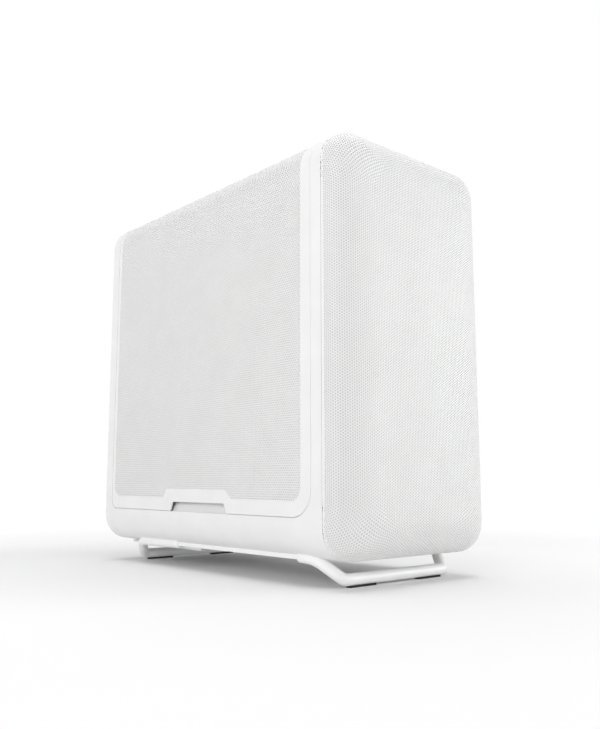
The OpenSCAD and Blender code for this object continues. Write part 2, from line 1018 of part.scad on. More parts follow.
// Rotor: hub with a blind bore for the shaft, and flat pitched blades
module fan_rotor(depth, tip_r, hub_r, blades, pitch) {
    blade_t = 1.6;
    blade_w = 5.0 * tip_r / blades;
    difference() {
        union() {
            translate([0, 0, 3.6])
                cylinder(r = hub_r, h = depth - 4.6);
            intersection() {
                translate([0, 0, 4])
                    difference() {
                        cylinder(r = tip_r, h = depth - 6);
                        translate([0, 0, -1])
                            cylinder(r = hub_r - 1, h = depth);
                    }
                for (i = [0 : blades - 1])
                    rotate(i * 360 / blades)
                        translate([hub_r - 2, 0, depth / 2 + 0.6])
                            rotate([pitch, 0, 0])
                                translate([0, -blade_w / 2, -blade_t / 2])
                                    cube([tip_r, blade_w, blade_t]);
            }
        }
        translate([0, 0, 3])
            cylinder(r = shaft_r + running_gap, h = depth - 6.4);
    }
}

// Places a fan drawn along +Z so that it blows along +Y, with its motor at the rear
module facing_front(at, y, depth) {
    translate([at[0], y + depth, at[1]])
        rotate([90, 0, 0])
            children();
}

fan_depth = 25;
front_fan = [140, 66, 21, 9];
rear_fan = [120, 57.5, 19, 9];

module front_fan_frames() {
    color("white")
        for (z = front_fan_z)
            facing_front([0, z], front_fan_y, fan_depth)
                fan_frame(front_fan[0], fan_depth, front_fan[1] + 1, front_fan[2]);
}

module front_rotor(z) {
    color("ghostwhite")
        facing_front([0, z], front_fan_y, fan_depth)
            fan_rotor(fan_depth, front_fan[1], front_fan[2], front_fan[3], 36);
}

module front_fan_rotor_lower() {
    front_rotor(front_fan_z[0]);
}

module front_fan_rotor_upper() {
    front_rotor(front_fan_z[1]);
}

module rear_fan_frame() {
    color("white")
        facing_front(rear_fan_at, plate_y - fan_depth, fan_depth)
            fan_frame(rear_fan[0], fan_depth, rear_fan[1] + 1, rear_fan[2]);
}

module rear_fan_rotor() {
    color("ghostwhite")
        facing_front(rear_fan_at, plate_y - fan_depth, fan_depth)
            fan_rotor(fan_depth, rear_fan[1], rear_fan[2], rear_fan[3], 36);
}

cooler_fan_at = [(fin_x[0] + fin_x[1]) / 2, cpu[1]];
cooler_fan_y = cpu[0] - 26 - fan_depth;

module cooler_fan_frame() {
    color("white")
        facing_front(cooler_fan_at, cooler_fan_y, fan_depth)
            fan_frame(rear_fan[0] - 4, fan_depth, rear_fan[1] - 2, rear_fan[2]);
}

module cooler_fan_rotor() {
    color("ghostwhite")
        facing_front(cooler_fan_at, cooler_fan_y, fan_depth)
            fan_rotor(fan_depth, rear_fan[1] - 3, rear_fan[2], rear_fan[3], 36);
}

// ---- Graphics card ----

card_z = slot_z + 3 * slot_pitch;
card_y = [-46, plate_y - 3];
card_x = [-42, face_x - 11.5];
card_fan_x = (card_x[0] + card_x[1]) / 2;
card_fan_y = [112, 6];
card_fan = [44, 15, 9];
shroud_bottom = card_z - 35;

module graphics_board() {
    bracket_y = [plate_y - 1, plate_y];
    color("darkslategray") {
        block(card_x, card_y, [card_z - 0.8, card_z + 0.8]);
        // Edge connector in the slot
        block([card_x[1], face_x - 3.2], [78, 161], [card_z - 0.8, card_z + 0.8]);
    }
    color("silver") {
        // Bracket over two slots, and the tab that ties it to the board
        block([-44, face_x], bracket_y, [card_z - 28.5, card_z + 9]);
        block([-30, 40], [card_y[1], bracket_y[0]], [card_z + 0.8, card_z + 2]);
        // Fin block
        block([card_x[0] + 10, card_x[1] - 10], [-36, 190], [card_z - 16, card_z - 0.8]);
        // Motor posts
        for (y = card_fan_y)
            rod_z(shaft_r, card_fan_x, y, [card_z - 26, card_z - 16]);
    }
}

module graphics_shroud() {
    x = [card_x[0] - 2, card_x[1] - 4];
    y = [card_y[0] - 2, card_y[1] - 2];
    color("whitesmoke")
        difference() {
            block(x, y, [shroud_bottom, card_z - 0.8]);
            block([x[0] + 2, x[1] - 2], [y[0] + 2, y[1] - 2], [shroud_bottom + 2, card_z]);
            for (fy = card_fan_y)
                rod_z(card_fan[0] + 1, card_fan_x, fy, [shroud_bottom - 1, shroud_bottom + 3]);
        }
}

module card_rotor(y) {
    depth = 16;
    color("ghostwhite")
        translate([card_fan_x, y, card_z - 17 + 3])
            mirror([0, 0, 1])
                fan_rotor(depth, card_fan[0], card_fan[1], card_fan[2], 30);
}

module graphics_rotor_rear() {
    card_rotor(card_fan_y[0]);
}

module graphics_rotor_front() {
    card_rotor(card_fan_y[1]);
}

// ---- Power supply ----

inlet_at = [-48, psu_z + 44];
switch_at = [-14, psu_z + 44];
inlet_size = [30, 24];
inlet_hole = [24, 17];
rocker_h = 17;

module psu_housing() {
    wall = 1.5;
    post_z = [psu_z, psu_z + 3];
    color("whitesmoke")
        difference() {
            union() {
                difference() {
                    block([-psu[0] / 2, psu[0] / 2], [psu_y, plate_y], [psu_z, psu_z + psu[2]]);
                    block([-psu[0] / 2 + wall, psu[0] / 2 - wall], [psu_y + wall, plate_y - wall],
                          [psu_z + wall, psu_z + psu[2] - wall]);
                    translate([psu_fan[0], psu_fan[1], psu_z - 1])
                        cylinder(r = 58, h = 4);
                }
                // Guard bars under the fan, with the motor disc and shaft
                for (a = [0 : 60 : 120])
                    translate([psu_fan[0], psu_fan[1], psu_z])
                        rotate(a)
                            translate([-59, -1.5, 0])
                                cube([118, 3, 1.5]);
                rod_z(18, psu_fan[0], psu_fan[1], post_z);
                rod_z(shaft_r, psu_fan[0], psu_fan[1], [psu_z, psu_z + 21]);
            }
            // Openings in the rear face: vent, inlet and switch
            for (i = [0 : 5], j = [0 : 5])
                rod_y(4, 12 + i * 10.5, [plate_y - 3, plate_y + 1], psu_z + 17 + j * 10.4);
            translate([inlet_at[0], plate_y, inlet_at[1]])
                cube([inlet_size[0] - 3, 8, inlet_size[1] - 3], center = true);
            translate([switch_at[0], plate_y, switch_at[1]])
                cube([16.2, 8, 22.2], center = true);
        }
}

module psu_fan_rotor() {
    color("gray")
        translate([psu_fan[0], psu_fan[1], psu_z])
            fan_rotor(fan_depth, 56, 18, 9, 36);
}

// Mains inlet with a flange, an open socket and three contact blades
module psu_inlet() {
    y = [plate_y - 20, plate_y];
    w = inlet_size[0];
    h = inlet_size[1];
    color("black")
        translate([inlet_at[0], 0, inlet_at[1]])
            difference() {
                union() {
                    block([-w / 2, w / 2], [plate_y, plate_y + 1.6], [-h / 2, h / 2]);
                    block([-w / 2 + 1.5, w / 2 - 1.5], y, [-h / 2 + 1.5, h / 2 - 1.5]);
                }
                block([-inlet_hole[0] / 2, inlet_hole[0] / 2], [y[0] + 3, plate_y + 3],
                      [-inlet_hole[1] / 2, inlet_hole[1] / 2]);
            }
    color("silver")
        translate([inlet_at[0], 0, inlet_at[1]]) {
            for (x = [-7, 7])
                block([x - 1, x + 1], [y[0] + 3, plate_y - 1], [1, 5]);
            block([-1, 1], [y[0] + 3, plate_y - 1], [3, 7]);
        }
}

// Rocker on a pin in a black bezel, drawn in its switched-on position
rocker_tilt = 7;
rocker_y = plate_y - 6;
rocker_w = 12.4;
rocker_pin = [1.5, 7.4];

module switch_bezel() {
    w = [rocker_w + 0.6, 16];
    h = [rocker_h + 3, 22];
    color("black")
        translate([switch_at[0], 0, switch_at[1]])
            difference() {
                union() {
                    block([-w[1] / 2 - 1.2, w[1] / 2 + 1.2], [plate_y, plate_y + 1.4],
                          [-h[1] / 2 - 1.2, h[1] / 2 + 1.2]);
                    block([-w[1] / 2, w[1] / 2], [rocker_y - 6, plate_y], [-h[1] / 2, h[1] / 2]);
                }
                block([-w[0] / 2, w[0] / 2], [rocker_y - 8, plate_y + 2], [-h[0] / 2, h[0] / 2]);
                rod_x(rocker_pin[0] + running_gap, [-rocker_pin[1] - 0.3, rocker_pin[1] + 0.3],
                      rocker_y, 0);
            }
}

module psu_switch() {
    color("black")
        translate([switch_at[0], rocker_y, switch_at[1]])
            rotate([-rocker_tilt, 0, 0]) {
                along_x(-rocker_w / 2, rocker_w / 2)
                    polygon([[-3, -4], [4.6, -rocker_h / 2], [6.1, 0], [4.6, rocker_h / 2],
                             [-3, 4]]);
                rod_x(rocker_pin[0], [-rocker_pin[1], rocker_pin[1]], 0, 0);
            }
}

// ---- Slot covers and the main power cable ----

module slot_covers() {
    color("silver")
        for (i = [0, 1])
            block([-44, face_x], [plate_y - 1, plate_y],
                  [slot_z + i * slot_pitch - 9.2, slot_z + i * slot_pitch + 9.2]);
}

// Route of the main power cable: out of the power supply, behind the tray and up to the board
cable_r = 4.5;
cable_route = [[60, 68, 100], [60, 50, 100], [66, 32, 100], [80, 14, 101], [91, -6, 106],
               [94, -24, 120], [94, -40, 142], [94, -52, 170], [94, -60, 200], [94, -66, 235],
               [94, -69, 270], [92, -70, 296], [86, -70, 312], [76, -68, 318], [67, -58, 318],
               [66, -46, 318], [66, -37, 318]];

function unit(v) = v / norm(v);

function cable_dir(i) =
    unit(cable_route[min(i + 1, len(cable_route) - 1)] - cable_route[max(i - 1, 0)]);

// Ring of points square to the route at its point i
function cable_ring(i, sides) =
    let (
        d = cable_dir(i),
        u = unit(cross(d, [0.3, 1, 0.8])),
        v = cross(d, u)
    )
    [for (k = [0 : sides - 1])
        let (a = 360 * k / sides)
        cable_route[i] + cable_r * (cos(a) * u + sin(a) * v)];

module power_cable() {
    sides = 8;
    last = len(cable_route) - 1;
    points = [for (i = [0 : last], p = cable_ring(i, sides)) p];
    faces = concat(
        [for (i = [0 : last - 1], k = [0 : sides - 1], half = [0, 1])
            let (
                a = i * sides + k,
                b = i * sides + (k + 1) % sides
            )
            half == 0 ? [a, a + sides, b + sides] : [a, b + sides, b]],
        [[for (k = [0 : sides - 1]) k],
         [for (k = [sides - 1 : -1 : 0]) last * sides + k]]
    );
    color("whitesmoke")
        polyhedron(points, faces, convexity = 6);
}

base_pan();
front_hoop();
rear_hoop();
rear_plate();
front_plate();
top_rails();
motherboard_tray();
psu_shroud();
drive_cage();
hard_drive();
front_foot();
rear_foot();
foot_pads();
underside_rails();
filter_frame();
filter_gauze();
front_cover_frame();
front_cover_mesh();
left_panel_frame();
left_panel_mesh();
left_panel_studs();
right_panel_frame();
right_panel_mesh();
right_panel_studs();
top_panel_frame();
top_panel_mesh();
top_panel_studs();
stud_sockets();
control_strip();
control_board();
usb_ports();
audio_jack();
power_button();
standoffs();
motherboard();
board_connectors();
board_heatsinks();
io_shield();
cooler_base();
cooler_fins();
cooler_fan_frame();
cooler_fan_rotor();
memory_modules();
graphics_board();
graphics_shroud();
graphics_rotor_rear();
graphics_rotor_front();
psu_housing();
psu_fan_rotor();
psu_inlet();
switch_bezel();
psu_switch();
front_fan_frames();
front_fan_rotor_lower();
front_fan_rotor_upper();
rear_fan_frame();
rear_fan_rotor();
slot_covers();
rear_screws();
power_cable();
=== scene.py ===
"""Looks of the desktop computer tower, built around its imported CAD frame.

+Z is up and the front is at -Y. Shapes are worked out in millimetres and become metres as their
mesh is made. Lights and the camera are given in metres.
"""

import json  # noqa: E402
import math  # noqa: E402

import bmesh  # noqa: E402
import bpy  # noqa: E402
import numpy as np  # noqa: E402
from mathutils import Matrix, Vector  # noqa: E402


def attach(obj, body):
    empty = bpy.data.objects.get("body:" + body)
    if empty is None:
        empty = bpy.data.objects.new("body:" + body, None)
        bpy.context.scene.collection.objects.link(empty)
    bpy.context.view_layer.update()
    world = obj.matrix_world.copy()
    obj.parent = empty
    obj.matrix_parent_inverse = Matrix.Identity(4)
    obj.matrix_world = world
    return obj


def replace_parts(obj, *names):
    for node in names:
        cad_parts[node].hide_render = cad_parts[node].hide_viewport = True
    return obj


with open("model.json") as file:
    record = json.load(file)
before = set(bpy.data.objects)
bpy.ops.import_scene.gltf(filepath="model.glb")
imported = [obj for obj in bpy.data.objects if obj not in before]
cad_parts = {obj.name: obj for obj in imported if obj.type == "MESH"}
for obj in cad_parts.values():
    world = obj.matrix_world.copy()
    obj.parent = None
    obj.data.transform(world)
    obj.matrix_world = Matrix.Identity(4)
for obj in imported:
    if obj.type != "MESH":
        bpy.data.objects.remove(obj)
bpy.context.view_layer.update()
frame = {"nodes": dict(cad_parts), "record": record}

MM = 0.001

# ---------------------------------------------------------------- the case, in millimetres
HALF_W = 107.5
HALF_D = 215.0
FOOT_H = 25.0
CASE_H = 430.0
MID_Z = (FOOT_H + CASE_H) / 2
HALF_H = (CASE_H - FOOT_H) / 2
EDGE_R = 32.0
CORNER_X = HALF_W - EDGE_R
CORNER_Z = CASE_H - EDGE_R

# Windows of the side panels, up to a place on the rounded edge, and of the top panel
WIN_Y = (-155.0, 193.7)
WIN_Z = 78.5
WIN_TOP_X = 84.0
TOP_WIN_X = 61.75
TOP_WIN_Y = (-125.5, 187.5)

# How far the sheets, their holes and the liners run past a window, under the frame
SHEET_OVER = 4.0
HOLES_OVER = 3.0
LINER_OVER = 2.0

# Perforated sheets: pitch of the holes, their size across flats, and depths under the surface
PITCH = 2.6
HOLE = 1.62
MESH_IN = 0.3
MESH_T = 0.6
LINER_IN = 1.0
LINER_T = 0.25
HOLES_PER_PIECE = 6800  # keeps a piece under 200,000 triangles

# Domed cover: how far its rounding reaches in and back, at the sides and at the top and bottom
DOME_ROLL = ((45.0, 23.0), (36.0, 25.0))
DOME_CORNER_R = 21.0
COVER_RIM_Y = -184.4
DOME_MESH_IN = 0.05
DOME_SHEET_OVER = 0.6
DOME_HOLES_IN = 1.9

# ---------------------------------------------------------------- camera
CAMERA_AT = (-0.5944, -0.7044, 0.0992)
CAMERA_YAW, CAMERA_PITCH, CAMERA_ROLL = 0.7198, 0.1428, -0.0006
FRAME_PX = (600.0, 729.0)
FOCAL_PX = 789.2
AXIS_PX = (295.9, 365.4)
SENSOR = 36.0


def make_camera():
    """Camera of the photo's view: AXIS_PX is where its axis meets the frame."""
    data = bpy.data.cameras.new("camera")
    cam = add_object("camera", data)
    flat = math.cos(CAMERA_PITCH)
    forward = Vector((math.sin(CAMERA_YAW) * flat, math.cos(CAMERA_YAW) * flat,
                      math.sin(CAMERA_PITCH)))
    cam.location = CAMERA_AT
    turn = forward.to_track_quat("-Z", "Y").to_matrix().to_4x4()
    cam.rotation_mode = "QUATERNION"
    cam.rotation_quaternion = (turn @ Matrix.Rotation(CAMERA_ROLL, 4, "Z")).to_quaternion()
    data.sensor_fit = "AUTO"
    data.sensor_width = SENSOR
    data.lens = FOCAL_PX / FRAME_PX[1] * SENSOR
    data.shift_x = (FRAME_PX[0] / 2 - AXIS_PX[0]) / FRAME_PX[1]
    data.shift_y = (AXIS_PX[1] - FRAME_PX[1] / 2) / FRAME_PX[1]
    data.clip_start, data.clip_end = 0.01, 100.0
    bpy.context.scene.camera = cam


# ---------------------------------------------------------------- materials
def nodes_of(name):
    m = bpy.data.materials.new(name)
    m.use_nodes = True
    nt = m.node_tree
    return m, nt, nt.nodes["Principled BSDF"]


def link(nt, a, b):
    nt.links.new(a, b)


def noise(nt, scale, detail, rough, stretch):
    co = nt.nodes.new("ShaderNodeTexCoord")
    mp = nt.nodes.new("ShaderNodeMapping")
    mp.inputs["Scale"].default_value = stretch
    n = nt.nodes.new("ShaderNodeTexNoise")
    n.inputs["Scale"].default_value = scale
    n.inputs["Detail"].default_value = detail
    n.inputs["Roughness"].default_value = rough
    link(nt, co.outputs["Object"], mp.inputs["Vector"])
    link(nt, mp.outputs["Vector"], n.inputs["Vector"])
    return n.outputs["Fac"]


def ramp(nt, fac, lo, hi, a, b):
    """Value that goes from a to b while fac goes from lo to hi."""
    r = nt.nodes.new("ShaderNodeMapRange")
    r.inputs["From Min"].default_value = lo
    r.inputs["From Max"].default_value = hi
    r.inputs["To Min"].default_value = a
    r.inputs["To Max"].default_value = b
    link(nt, fac, r.inputs["Value"])
    return r.outputs["Result"]


def colour_mix(nt, fac, a, b):
    x = nt.nodes.new("ShaderNodeMix")
    x.data_type = "RGBA"
    x.inputs["A"].default_value = (*a, 1)
    x.inputs["B"].default_value = (*b, 1)
    link(nt, fac, x.inputs["Factor"])
    return x.outputs["Result"]


def bump(nt, bsdf, height, strength, distance):
    b = nt.nodes.new("ShaderNodeBump")
    b.inputs["Strength"].default_value = strength
    b.inputs["Distance"].default_value = distance
    link(nt, height, b.inputs["Height"])
    link(nt, b.outputs["Normal"], bsdf.inputs["Normal"])


PATCH_EDGES = (0.3, 0.7)
GRAIN_DEPTH = 0.00004


def finish_material(name, light, dark, rough, metal=0.0, grain=900.0, strength=0.25, patch=30.0,
                    stretch=(1, 1, 1)):
    """Two close tones in soft patches, a roughness that varies, and a fine grain in the normal."""
    m, nt, b = nodes_of(name)
    soft = noise(nt, patch, 4.0, 0.55, stretch)
    colour = colour_mix(nt, ramp(nt, soft, *PATCH_EDGES, 0, 1), light, dark)
    link(nt, colour, b.inputs["Base Color"])
    link(nt, ramp(nt, soft, *PATCH_EDGES, *rough), b.inputs["Roughness"])
    if strength:
        bump(nt, b, noise(nt, grain, 2.0, 0.5, stretch), strength, GRAIN_DEPTH)
    b.inputs["Metallic"].default_value = metal
    return m


def tone(*srgb):
    """Linear colour from three sRGB numbers of 0 to 1, or from one for a grey."""
    return tuple(c / 12.92 if c <= 0.04045 else ((c + 0.055) / 1.055) ** 2.4
                 for c in (srgb if len(srgb) == 3 else srgb * 3))


# Material: light tone, dark tone, range of roughness, and what sets it apart
FINISHES = {
    "painted_shell": (tone(0.93), tone(0.915), (0.42, 0.5), {}),
    "painted_tube": (tone(0.975), tone(0.965), (0.3, 0.38), {}),
    "perforated_steel": (tone(0.93), tone(0.92), (0.45, 0.5), {"strength": 0}),
    "chassis_steel": (tone(0.9), tone(0.88), (0.45, 0.55), {}),
    "bright_steel": (tone(0.78, 0.78, 0.79), tone(0.7, 0.7, 0.71), (0.25, 0.35),
                     {"metal": 1.0, "stretch": (1, 1, 8)}),
    "rubber_pads": (tone(0.1), tone(0.07), (0.7, 0.85), {"grain": 1500.0, "strength": 0.5}),
    "white_plastic": (tone(0.91), tone(0.895), (0.4, 0.5), {"grain": 1400.0}),
    "fan_blades": (tone(0.88, 0.89, 0.9), tone(0.85, 0.86, 0.87), (0.35, 0.45),
                   {"grain": 1400.0}),
    "black_plastic": (tone(0.11, 0.11, 0.12), tone(0.08, 0.08, 0.09), (0.4, 0.55),
                      {"grain": 1400.0, "strength": 0.4}),
    "circuit_board": (tone(0.07, 0.1, 0.09), tone(0.1, 0.14, 0.12), (0.3, 0.4),
                      {"grain": 400.0, "patch": 220.0}),
    "filter_gauze": (tone(0.84), tone(0.8), (0.7, 0.8), {"strength": 0}),
    "mesh_liner": (tone(0.83), tone(0.815), (0.75, 0.85), {"strength": 0}),
    "brass_parts": (tone(0.86, 0.72, 0.42), tone(0.78, 0.63, 0.34), (0.25, 0.35),
                    {"metal": 1.0}),
    "copper_parts": (tone(0.85, 0.55, 0.42), tone(0.76, 0.46, 0.34), (0.25, 0.35),
                     {"metal": 1.0}),
    "aluminium_parts": (tone(0.82, 0.82, 0.83), tone(0.76, 0.76, 0.77), (0.3, 0.42),
                        {"metal": 1.0, "stretch": (8, 1, 1)}),
    "dark_modules": (tone(0.16, 0.16, 0.17), tone(0.12, 0.12, 0.13), (0.35, 0.45),
                     {"metal": 0.3}),
    "cable_sleeve": (tone(0.1), tone(0.16), (0.6, 0.7), {"grain": 1800.0, "strength": 0.6}),
}
M = {name: finish_material(name, light, dark, rough, **more)
     for name, (light, dark, rough, more) in FINISHES.items()}


def dress_cad_nodes():
    for part in frame["record"]["subparts"]:
        o = frame["nodes"][part["node"]]
        o.data.materials.clear()
        o.data.materials.append(M[part["material_slot"]])


# ---------------------------------------------------------------- making pieces
def add_object(name, data):
    o = bpy.data.objects.new(name, data)
    bpy.context.scene.collection.objects.link(o)
    return o


def add_piece(name, me, material, body):
    me.materials.append(material)
    o = add_object(name, me)
    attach(o, body)
    return o


def mesh_from_bmesh(name, bm):
    me = bpy.data.meshes.new(name)
    bm.to_mesh(me)
    bm.free()
    return me


def mesh_from_arrays(name, verts, faces, smooth=False):
    """Mesh from points in millimetres and arrays of faces, each with one number of corners."""
    me = bpy.data.meshes.new(name)
    loops = np.concatenate([f.ravel() for f in faces])
    counts = np.concatenate([np.full(len(f), f.shape[1], np.int32) for f in faces])
    used, loops = np.unique(loops, return_inverse=True)
    co = np.asarray(verts, np.float32)[used] * MM
    me.vertices.add(len(co))
    me.vertices.foreach_set("co", co.ravel())
    me.loops.add(len(loops))
    me.loops.foreach_set("vertex_index", loops.astype(np.int32))
    me.polygons.add(len(counts))
    starts = np.concatenate([[0], np.cumsum(counts)[:-1]]).astype(np.int32)
    me.polygons.foreach_set("loop_start", starts)
    me.polygons.foreach_set("use_smooth", np.full(len(counts), smooth, bool))
    me.update(calc_edges=True)
    me.validate()
    return me


def round_edges(o, width, angle=40.0):
    """Bevels edges sharper than an angle in degrees, by a width in millimetres."""
    edge = o.modifiers.new("round", "BEVEL")
    edge.width = width * MM
    edge.segments = 2
    edge.limit_method = "ANGLE"
    edge.angle_limit = math.radians(angle)


def boolean(o, operation, other):
    change = o.modifiers.new(operation.lower(), "BOOLEAN")
    change.operation = operation
    change.solver = "EXACT"
    change.object = other


def applied_piece(name, o, scratch, body, slot):
    """Piece with the mesh of an object and its modifiers applied. The scratch objects go."""
    dg = bpy.context.evaluated_depsgraph_get()
    me = bpy.data.meshes.new_from_object(o.evaluated_get(dg), depsgraph=dg)
    for other in scratch:
        bpy.data.objects.remove(other)
    me.materials.clear()
    return add_piece(name, me, M[slot], body)


# ---------------------------------------------------------------- perforated sheets
HEX = [(math.cos(math.radians(60 * k)), math.sin(math.radians(60 * k))) for k in range(6)]


def perforated(name, u_range, v_range, place, inside, exists, body, node):
    """Sheet of hexagonal holes laid on a surface, in lines along v, every other one staggered.

    place(u, v, depth) gives points at a depth under the outer surface, inside(u, v) says where a
    hole may be cut, and exists(u, v) where there is sheet at all. The pieces stand for the node.
    """
    line = PITCH * math.sqrt(3) / 2
    ni = int((u_range[1] - u_range[0]) / line) + 3
    nj = int((v_range[1] - v_range[0]) / PITCH) + 3
    i, j = np.meshgrid(np.arange(ni), np.arange(nj), indexing="ij")
    odd = i % 2
    cu = (u_range[0] + u_range[1]) / 2 + (i - (ni - 1) / 2) * line
    cv = (v_range[0] + v_range[1]) / 2 + (j - (nj - 1) / 2 + 0.5 * odd - 0.25) * PITCH
    r = HOLE / math.sqrt(3)
    pu = cu[..., None] + r * np.array([h[0] for h in HEX])
    pv = cv[..., None] + r * np.array([h[1] for h in HEX])
    whole = inside(pu, pv).all(-1)
    sheet = exists(cu, cv)
    front = place(pu.ravel(), pv.ravel(), MESH_IN)
    back = place(pu.ravel(), pv.ravel(), MESH_IN + MESH_T)
    verts = np.concatenate([front, back])
    to_back = len(front)
    base = (i * nj + j) * 6

    def cell(di, dj):
        """First vertex of the neighbour's hole, and whether it is there."""
        a, b = i + di, j + dj
        ok = (a >= 0) & (a < ni) & (b >= 0) & (b < nj)
        a, b = np.clip(a, 0, ni - 1), np.clip(b, 0, nj - 1)
        return (a * nj + b) * 6, ok & sheet[a, b]

    up, has_up = cell(0, 1)
    c, has_c = cell(1, odd)
    d, has_d = cell(1, odd - 1)
    faces = {4: [], 3: [], 6: []}
    rows = {4: [], 3: [], 6: []}

    def add(corners, ok):
        """Faces of the front and the back of the sheet, with the row that each belongs to."""
        ok = ok & sheet
        f = np.stack([x[ok] for x in corners], -1)
        faces[len(corners)] += [f, f[:, ::-1] + to_back]
        rows[len(corners)] += [j[ok], j[ok]]

    add([base + 2, base + 1, up + 5, up + 4], has_up)
    add([base, c + 4, c + 3, base + 1], has_c)
    add([base + 5, d + 3, d + 2, base], has_d)
    add([base + 1, c + 3, up + 5], has_up & has_c)
    add([base, d + 2, c + 4], has_c & has_d)
    add([base + k for k in range(6)], ~whole)
    cut = whole & sheet
    first = base[cut]
    for k in range(6):
        k2 = (k + 1) % 6
        faces[4].append(np.stack([first + k, first + k2, first + k2 + to_back,
                                  first + k + to_back], -1))
        rows[4].append(j[cut])
    faces = {n: np.concatenate(x) for n, x in faces.items()}
    rows = {n: np.concatenate(x) for n, x in rows.items()}

    parts = max(1, math.ceil(cut.sum() / HOLES_PER_PIECE))
    so_far = np.bincount(j[cut], minlength=nj).cumsum()
    splits = [np.searchsorted(so_far, so_far[-1] * k / parts) for k in range(1, parts)]
    edges = [-1, *splits, nj]
    for k in range(parts):
        taken = [faces[n][(rows[n] > edges[k]) & (rows[n] <= edges[k + 1])] for n in faces]
        part = f"{name}_{k + 1}" if parts > 1 else name
        me = mesh_from_arrays(part, verts, taken)
        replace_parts(add_piece(part, me, M["perforated_steel"], body), node)


def liner(name, u_range, v_range, place, inside, body, step):
    """Thin sheet of filter cloth behind a perforated sheet, where inside(u, v) is true."""
    nu = int((u_range[1] - u_range[0]) / step)
    nv = int((v_range[1] - v_range[0]) / step)
    u, v = np.meshgrid(np.linspace(*u_range, nu + 1), np.linspace(*v_range, nv + 1), indexing="ij")
    front = place(u.ravel(), v.ravel(), LINER_IN)
    back = place(u.ravel(), v.ravel(), LINER_IN + LINER_T)
    verts = np.concatenate([front, back])
    idx = np.arange(u.size).reshape(u.shape)
    corners = (np.s_[:-1, :-1], np.s_[1:, :-1], np.s_[1:, 1:], np.s_[:-1, 1:])
    keep = inside(u, v)
    ok = np.all([keep[at] for at in corners], axis=0)
    quads = np.stack([idx[at][ok] for at in corners], -1)
    rim = {}
    for f in quads:
        for k in range(4):
            a, b = int(f[k]), int(f[(k + 1) % 4])
            if (b, a) in rim:
                del rim[b, a]
            else:
                rim[a, b] = (b, a, a + u.size, b + u.size)
    faces = np.concatenate([quads, quads[:, ::-1] + u.size, np.array(list(rim.values()), np.int64)])
    me = mesh_from_arrays(name, verts, [faces], smooth=True)
    add_piece(name, me, M["mesh_liner"], body)


def widened(span, by):
    return span[0] - by, span[1] + by


def window_mesh(side, u_window, v_window, place):
    """Liner and perforated sheet of a panel's window, both running on under its frame."""
    def within(by):
        (u0, u1), (v0, v1) = widened(u_window, by), widened(v_window, by)
        return lambda u, v: (u > u0) & (u < u1) & (v > v0) & (v < v1)

    liner(f"{side}_liner", widened(u_window, LINER_OVER), widened(v_window, LINER_OVER), place,
          lambda u, v: np.ones(u.shape, bool), f"{side}_panel", step=6.0)
    perforated(f"{side}_mesh", widened(u_window, SHEET_OVER), widened(v_window, SHEET_OVER), place,
               within(HOLES_OVER), within(SHEET_OVER), f"{side}_panel", f"{side}_panel_mesh")


def side_mesh(side, sign):
    """Mesh of a side panel: a runs up the side and over the top edge, b along the side."""
    def place(a, b, depth):
        turn = np.maximum(a - CORNER_Z, 0) / EDGE_R
        x = CORNER_X + (EDGE_R - depth) * np.cos(turn)
        z = np.where(a <= CORNER_Z, a, CORNER_Z + (EDGE_R - depth) * np.sin(turn))
        return np.stack([sign * x, -sign * b, z], -1)

    top = CORNER_Z + EDGE_R * math.acos((WIN_TOP_X - CORNER_X) / EDGE_R)
    window_mesh(side, (WIN_Z, top), tuple(sorted(-sign * y for y in WIN_Y)), place)


def top_mesh():
    def place(u, v, depth):
        return np.stack([u, v, np.full_like(u, CASE_H - depth)], -1)

    window_mesh("top", (-TOP_WIN_X, TOP_WIN_X), TOP_WIN_Y, place)


